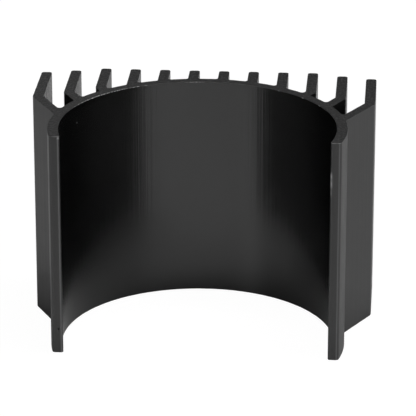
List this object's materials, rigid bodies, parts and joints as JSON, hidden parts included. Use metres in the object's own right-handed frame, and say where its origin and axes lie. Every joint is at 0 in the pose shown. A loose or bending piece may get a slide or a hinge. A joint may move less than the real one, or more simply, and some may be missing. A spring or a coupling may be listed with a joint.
{
  "type": "motor heat sink",
  "caption": "Clip-on aluminium heat sink for a small electric motor: a springy C-shaped cradle that grips the can, with parallel cooling fins along its back.",
  "frame": {"origin": "on the motor's axis, in the plane of the lower sawn end", "axes": "+Z along the motor's axis towards the upper end, +Y towards the fins, so the cradle opens towards -Y, +X across the row of fins"},
  "size_m": [0.0452, 0.0277, 0.03],
  "materials": {
    "black_anodised": "black satin anodise over an extruded surface, with fine lines along the extrusion and sawn ends"
  },
  "bodies": {
    "root": {"heat_sink": "black_anodised"}
  },
  "joints": []
}
